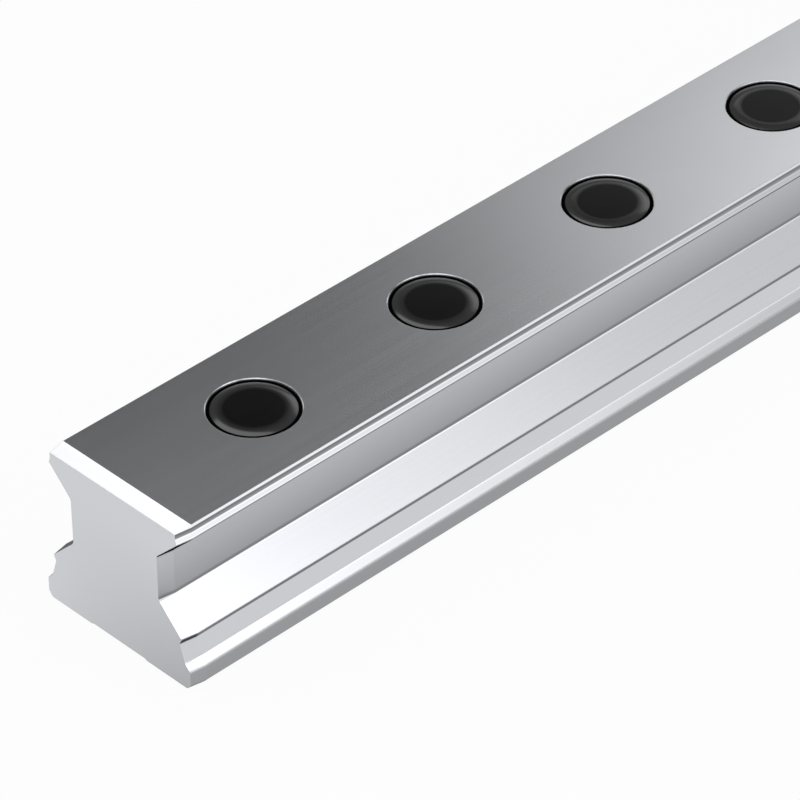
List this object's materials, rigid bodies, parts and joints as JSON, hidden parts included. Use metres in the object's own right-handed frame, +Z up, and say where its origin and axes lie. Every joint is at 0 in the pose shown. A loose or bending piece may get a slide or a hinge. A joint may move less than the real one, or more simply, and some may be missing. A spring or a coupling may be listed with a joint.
{
  "type": "roller guide rail",
  "caption": "Straight ground steel guide rail with 45 degree roller raceways on both sides, tapered ends and a row of plugged counterbored mounting holes.",
  "frame": {"origin": "centre of the rail's mounting face, on the plane it rests on", "axes": "+X along the rail away from the end nearest the camera, +Y across it to the far side, +Z up from the mounting face"},
  "size_m": [0.5, 0.045, 0.0397],
  "materials": {
    "ground_steel": "fine ground hardened steel, bright on the raceways and chamfers",
    "plug_plastic": "smooth black moulded plastic"
  },
  "bodies": {
    "root": {"rail": "ground_steel", "plug_01": "plug_plastic", "plug_02": "plug_plastic", "plug_03": "plug_plastic", "plug_04": "plug_plastic", "plug_05": "plug_plastic", "plug_06": "plug_plastic", "plug_07": "plug_plastic", "plug_08": "plug_plastic", "plug_09": "plug_plastic"}
  },
  "joints": []
}
